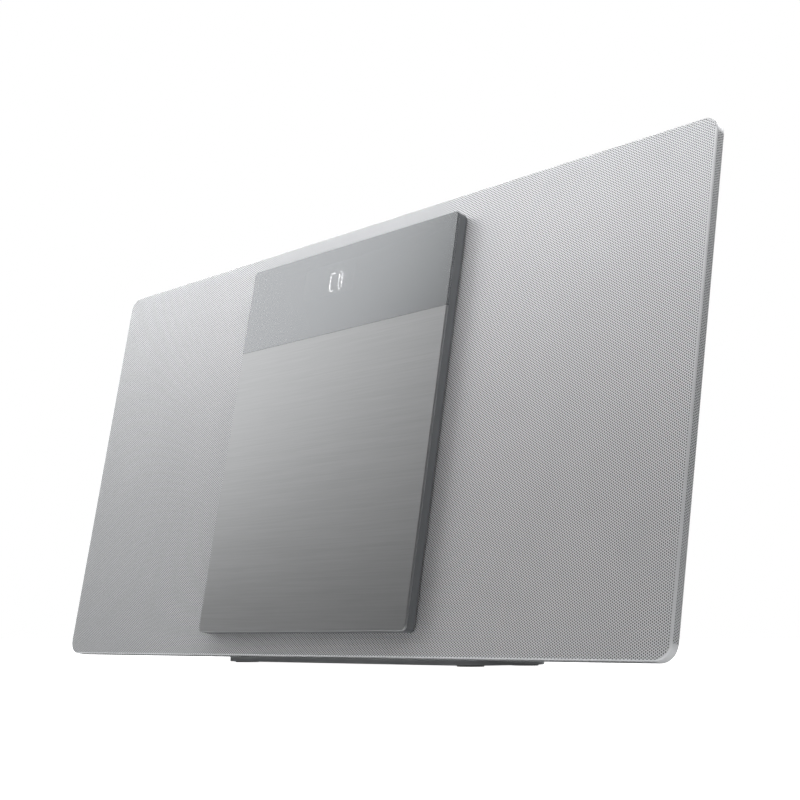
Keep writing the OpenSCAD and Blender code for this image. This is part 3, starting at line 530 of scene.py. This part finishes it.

# Each bar is a slot in the light box with an LED behind, and its glow varies a little from place
# to place.
lit, tree, surface, place = finish("lit_segment", Base_Color=(0.8, 0.8, 0.8, 1), Roughness=0.5,
                                   Emission_Color=(1, 1, 1, 1))
glow = add(tree, "ShaderNodeTexNoise", {"Scale": 1 / (1.5 * MM), "Detail": 1.0},
           {"Vector": place})
power = add(tree, "ShaderNodeMapRange", {"To Min": 80.0, "To Max": 110.0},
            {"Value": glow.outputs["Fac"]})
tree.links.new(power.outputs[0], surface.inputs["Emission Strength"])
bar_w = 0.5 * MM
bar_h = 3.6 * MM
gap = 0.45 * MM
mark_v = display_high.z - 11.3 * MM
bm = bmesh.new()
bars = []
for k in (0, 1):
    v = mark_v + bar_w + gap + k * (bar_h + gap)
    for u in (-19.6, -13.1, -10.9):
        bars.append(((u * MM, u * MM + bar_w), (v, v + bar_h)))
mark_top = mark_v + bar_w + 3 * gap + 2 * bar_h
for v in (mark_v, mark_top):
    bars.append(((-19.1 * MM, -16.6 * MM), (v, v + bar_w)))
bars.append(((-12.6 * MM, -10.9 * MM), (mark_top, mark_top + bar_w)))
bars.append(((-12.6 * MM, -10.9 * MM), (mark_v, mark_v + bar_w)))
for u, v in bars:
    rounded_face(bm, u, v, -display_low.y, 0.2 * MM, 2)
extrude(bm, bm.faces[:], 0.1 * MM)
segments = smooth_piece(bm, "display_segments", on_front)
fit(segments, "housing", lit, "window_strip")


# ---- Circuit boards ----------------------------------------------------------
# Glass-epoxy laminate under green solder mask. The mask is darker over bare laminate than over
# the copper tracks, which run in straight lines.

fr4, tree, surface, place = finish("green_solder_mask", IOR=1.5, Coat_Weight=0.3)
tracks = add(tree, "ShaderNodeTexBrick",
             {"Color1": colour("#1f6b3a"), "Color2": colour("#23753f"),
              "Mortar": colour("#17552d"), "Scale": 1 / (5 * MM), "Mortar Size": 0.06,
              "Brick Width": 1.3, "Row Height": 0.25}, {"Vector": place})
tree.links.new(tracks.outputs["Color"], surface.inputs["Base Color"])
dull = add(tree, "ShaderNodeMapRange", {"To Min": 0.3, "To Max": 0.45},
           {"Value": tracks.outputs["Fac"]})
tree.links.new(dull.outputs[0], surface.inputs["Roughness"])
step = add(tree, "ShaderNodeBump", {"Strength": 0.3, "Distance": 0.03 * MM},
           {"Height": tracks.outputs["Fac"]}, invert=True)
tree.links.new(step.outputs[0], surface.inputs["Normal"])
dress(fr4, "display_board", "main_board", "key_board")
dress(moulded("black_epoxy", "#1a1b1c", 0.42, 0.2), "board_parts")
dress(metal("turned_brass", "#c2a661", 0.28, 0.4, (4, 4, 0.4)), "board_standoffs")
dress(metal("extruded_aluminium", "#9ea1a4", 0.4, 0.5, (1, 1, 0.05)), "heat_sink")


# ---- Disc mechanism ----------------------------------------------------------
# A zinc-plated chassis carries the turntable and the pickup's sled. The hub has three sprung
# tabs that hold the disc, and a rubber ring below them grips it.

dress(moulded("dark_abs", "#26272a", 0.48), "mech_posts", "pickup_sled")
dress(moulded("black_acetal", "#222325", 0.4, 0.5, 0.01), "turntable_hub")
rubber = moulded("black_rubber", "#141414", 0.75, 0.25, 0.04)
dress(rubber, "turntable_mat", "foot_pads")

hub_low, hub_high = lean_box("turntable_hub")
hub_x = (hub_low.x + hub_high.x) / 2
hub_v = (hub_low.z + hub_high.z) / 2
bm = bmesh.new()
for k in range(3):
    tab = bmesh.ops.create_cube(bm, size=1)["verts"]
    out = Matrix.Rotation(math.radians(90 + 120 * k), 4, "Z")
    grow = Matrix.Diagonal((2.6 * MM, 1.5 * MM, 1.3 * MM, 1))
    bmesh.ops.transform(bm, verts=tab, matrix=out @ Matrix.Translation((6.5 * MM, 0, 0)) @ grow)
bmesh.ops.bevel(bm, geom=bm.edges[:], offset=0.35 * MM, offset_type="OFFSET", segments=3,
                profile=0.5, affect="EDGES", material=-1)
bmesh.ops.translate(bm, verts=bm.verts[:], vec=(hub_x, hub_v, -hub_low.y - 1.5 * MM))
tabs = smooth_piece(bm, "hub_tabs", on_front)
fit(tabs, "turntable", acetal, "hub_plastic")

# The lens is moulded glass with a blue-violet coat.
coated, tree, surface, place = finish("coated_lens_glass", Metallic=0.3, IOR=1.6,
                                      Coat_Weight=1.0, Coat_Roughness=0.03)
bloom = add(tree, "ShaderNodeTexNoise", {"Scale": 300.0, "Detail": 1.0}, {"Vector": place})
tone = add(tree, "ShaderNodeMix", {6: colour("#3c4a86"), 7: colour("#5d7fa8")},
           {0: bloom.outputs["Fac"]}, data_type="RGBA")
tree.links.new(tone.outputs[2], surface.inputs["Base Color"])
dull = add(tree, "ShaderNodeMapRange", {"To Min": 0.04, "To Max": 0.1},
           {"Value": bloom.outputs["Fac"]})
tree.links.new(dull.outputs[0], surface.inputs["Roughness"])
dress(coated, "pickup_lens")


# ---- Loudspeakers ------------------------------------------------------------
# Two full-range units behind the sheet: a black painted steel basket, a ferrite magnet, a
# rubber roll and a pressed paper cone.

paper, tree, surface, place = finish("pressed_paper", Roughness=0.85)
fibres = add(tree, "ShaderNodeTexNoise", {"Scale": 1 / (0.7 * MM), "Detail": 5.0,
                                          "Distortion": 1.5}, {"Vector": place})
tone = add(tree, "ShaderNodeMix", {6: colour("#26272a"), 7: colour("#3a3b3e")},
           {0: fibres.outputs["Fac"]}, data_type="RGBA")
tree.links.new(tone.outputs[2], surface.inputs["Base Color"])
felt = add(tree, "ShaderNodeBump", {"Strength": 0.4, "Distance": 0.05 * MM},
           {"Height": fibres.outputs["Fac"]})
tree.links.new(felt.outputs[0], surface.inputs["Normal"])
painted_steel = moulded("black_painted_steel", "#202124", 0.35, 1.2, 0.02)
ferrite = moulded("grey_ferrite", "#6a6c6f", 0.55, 0.3, 0.03)
for side in ("left", "right"):
    dress(painted_steel, side + "_speaker_frame")
    dress(ferrite, side + "_speaker_magnet")
    dress(rubber, side + "_surround")
    dress(paper, side + "_cone")
    dress(black_abs, side + "_port_tube")


# ---- Rear cabinet ------------------------------------------------------------
# One ABS moulding, painted satin silver, whose sides taper in behind the front. It has vents,
# two port mouths, wall-mount holes and the recess for the sockets.

cabinet = softened_copy("rear_cabinet", "cabinet_shell", 0.5 * MM)
fit(cabinet, "housing", moulded("silver_painted_abs", "#b9bbbd", 0.4, 0.5, 0.02),
    "cabinet_plastic", "rear_cabinet")


# ---- Buttons -----------------------------------------------------------------
# Seven ABS caps on top, with soft edges and a printed sign each. Below its cap, each has a
# flange that holds it in and a stem that presses its dome switch.

def ring(bm, outer_r, inner_r, w, segments=32):
    """A flat ring at height w."""
    faces = []
    for r in (outer_r, inner_r):
        made = bmesh.ops.create_circle(bm, cap_ends=True, segments=segments, radius=r,
                                       matrix=Matrix.Translation((0, 0, w)))["verts"]
        faces.append(made[0].link_faces[0])
    return bridge(bm, *faces)


def merge(bm, part):
    """Moves a part that is drawn on its own into the mesh that is being built."""
    mesh = bpy.data.meshes.new("part")
    part.to_mesh(mesh)
    part.free()
    bm.from_mesh(mesh)
    bpy.data.meshes.remove(mesh)


def disc(bm, r, w, segments=32, angle=0, place=(0, 0)):
    """A flat round or regular face at height w."""
    move = Matrix.Translation((*place, w)) @ Matrix.Rotation(math.radians(angle), 4, "Z")
    made = bmesh.ops.create_circle(bm, cap_ends=True, segments=segments, radius=r,
                                   matrix=move)["verts"]
    return made[0].link_faces[0]


def sign(bm, kind):
    """The flat faces of one button's sign, around the origin."""
    if kind == "power":
        rounded_face(bm, (-0.17 * MM, 0.17 * MM), (0.5 * MM, 1.9 * MM), 0, 0.15 * MM, 3)
        ring(bm, 1.4 * MM, 1.05 * MM, 0)
    elif kind == "source":
        ring(bm, 1.4 * MM, 1.05 * MM, 0)
        disc(bm, 0.5 * MM, 0)
    elif kind == "stop":
        rounded_face(bm, (-1.1 * MM, 1.1 * MM), (-1.1 * MM, 1.1 * MM), 0, 0.15 * MM, 3)
    elif kind == "play":
        disc(bm, 1.5 * MM, 0, 3, -90)
    elif kind == "open":
        disc(bm, 1.3 * MM, 0, 3, 0, (0, 0.4 * MM))
        rounded_face(bm, (-1.15 * MM, 1.15 * MM), (-1.1 * MM, -0.7 * MM), 0, 0.1 * MM, 3)
    else:
        rounded_face(bm, (-1.3 * MM, 1.3 * MM), (-0.2 * MM, 0.2 * MM), 0, 0.15 * MM, 3)
    if kind == "volume_up":
        for end in (-1, 1):
            reach = sorted((end * 0.2 * MM, end * 1.3 * MM))
            rounded_face(bm, (-0.2 * MM, 0.2 * MM), reach, 0, 0)


cap_abs = moulded("silver_abs", "#96989a", 0.4, 0.35, 0.02)
ink = moulded("dark_pad_print", "#3a3b3d", 0.6, 0.2, 0.01)
cap_h = 4.3 * MM
cap_corner = 2 * MM
flange_h = 1.2 * MM
flange_out = 1 * MM
stem_r = 1.6 * MM
for kind in ("power", "source", "volume_down", "volume_up", "stop", "play", "open"):
    low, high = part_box(kind + "_button")
    x = (low[0] + high[0]) / 2
    y = (low[1] + high[1]) / 2
    half_w = (high[0] - low[0]) / 2 - flange_out
    half_d = (high[1] - low[1]) / 2 - flange_out
    cap_low = high[2] - cap_h
    flange_low = cap_low - flange_h
    bm = bmesh.new()
    rounded_face(bm, (-half_w, half_w), (-half_d, half_d), cap_low, cap_corner)
    extrude(bm, bm.faces[:], cap_h)
    soften(bm, high[2], 0.6 * MM, 4)
    for across, deep, corner, bottom, top in (
            (half_w + flange_out, half_d + flange_out, cap_corner, flange_low, cap_low),
            (stem_r, stem_r, stem_r - 0.01 * MM, low[2], flange_low)):
        below = bmesh.new()
        rounded_face(below, (-across, across), (-deep, deep), bottom, corner)
        extrude(below, below.faces[:], top - bottom)
        merge(bm, below)
    cap = smooth_piece(bm, kind + "_cap", Matrix.Translation((x, y, 0)))
    fit(cap, kind + "_button", cap_abs, "button_plastic", kind + "_button")
    bm = bmesh.new()
    sign(bm, kind)
    extrude(bm, bm.faces[:], 0.06 * MM)
    printed = smooth_piece(bm, kind + "_sign", Matrix.Translation((x, y, high[2] - 0.02 * MM)))
    fit(printed, kind + "_button", ink, "button_plastic")


# ---- Sockets -----------------------------------------------------------------
# A black plate in the cabinet's recess with a barrel inlet for an external adaptor, a 3.5 mm
# stereo socket and a nickel-plated aerial socket.

dress(moulded("black_socket_plate", "#1f2022", 0.45), "jack_panel")
dress(moulded("black_nylon", "#151617", 0.4, 0.3, 0.01), "power_jack", "aux_jack")
dress(metal("nickel_plate", "#c9c7c0", 0.18, 2.0), "aerial_socket")


# ---- Screws ------------------------------------------------------------------
# Cross-recessed pan-head screws of zinc-plated steel, four in the cabinet's back and two up
# through the foot.

def pan_screw(bm, matrix, head_r, head_h, shank_r, shank_len):
    """Adds one screw, its head towards +w and its head's underside at the origin."""
    made = bmesh.new()
    arm = head_r * 0.14
    tip = head_r * 0.5
    cross = [(arm, arm), (arm, tip), (-arm, tip), (-arm, arm), (-tip, arm), (-tip, -arm),
             (-arm, -arm), (-arm, -tip), (arm, -tip), (arm, -arm), (tip, -arm), (tip, arm)]
    plus = made.faces.new([made.verts.new((*point, head_h)) for point in cross])
    top = disc(made, head_r * 0.8, head_h)
    edge = list(top.edges)
    inner = list(plus.edges)
    bridge(made, top, plus)
    for loop, rings in ((edge, ((head_r, head_h * 0.55), (head_r, 0), (shank_r, 0),
                                (shank_r, -shank_len))),
                        (inner, ((None, head_h * 0.4),))):
        for radius, w in rings:
            grown = bmesh.ops.extrude_edge_only(made, edges=loop)["geom"]
            verts = [g for g in grown if isinstance(g, bmesh.types.BMVert)]
            loop = [g for g in grown if isinstance(g, bmesh.types.BMEdge)
                    and all(v in verts for v in g.verts)]
            for vert in verts:
                if radius:
                    flat = Vector((vert.co.x, vert.co.y, 0)).normalized() * radius
                    vert.co.xy = flat.xy
                vert.co.z = w
        bmesh.ops.contextual_create(made, geom=loop)
    bmesh.ops.recalc_face_normals(made, faces=made.faces[:])
    bmesh.ops.transform(made, matrix=matrix, verts=made.verts[:])
    merge(bm, made)


low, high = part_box("cabinet_screws")
head_r = 3.1 * MM
head_h = 1.1 * MM
bm = bmesh.new()
for x in (low[0] + head_r, high[0] - head_r):
    for z in (low[2] + head_r, high[2] - head_r):
        out = Matrix.Translation((x, high[1] - head_h, z)) @ Matrix.Rotation(
            math.radians(-90), 4, "X")
        pan_screw(bm, out, head_r, head_h, 1.6 * MM, high[1] - head_h - low[1])
back_screws = smooth_piece(bm, "cabinet_screw_set")
fit(back_screws, "housing", zinc_steel, "plated_metal", "cabinet_screws")

low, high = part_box("foot_screws")
head_r = 3.2 * MM
head_h = 1.6 * MM
y = (low[1] + high[1]) / 2
bm = bmesh.new()
for x in (low[0] + head_r, high[0] - head_r):
    down = Matrix.Translation((x, y, low[2] + head_h)) @ Matrix.Rotation(math.pi, 4, "X")
    pan_screw(bm, down, head_r, head_h, 1.4 * MM, high[2] - low[2] - head_h)
stand_screws = smooth_piece(bm, "foot_screw_set")
fit(stand_screws, "housing", zinc_steel, "plated_metal", "foot_screws")


# ---- Foot --------------------------------------------------------------------
# A grey ABS plate under the cabinet with round corners, softened edges and sockets below for
# its rubber pads and screws.

foot = softened_copy("foot", "foot_plate", 0.5 * MM)
fit(foot, "housing", moulded("grey_abs", "#dcdee0", 0.5), "foot_plastic", "foot")
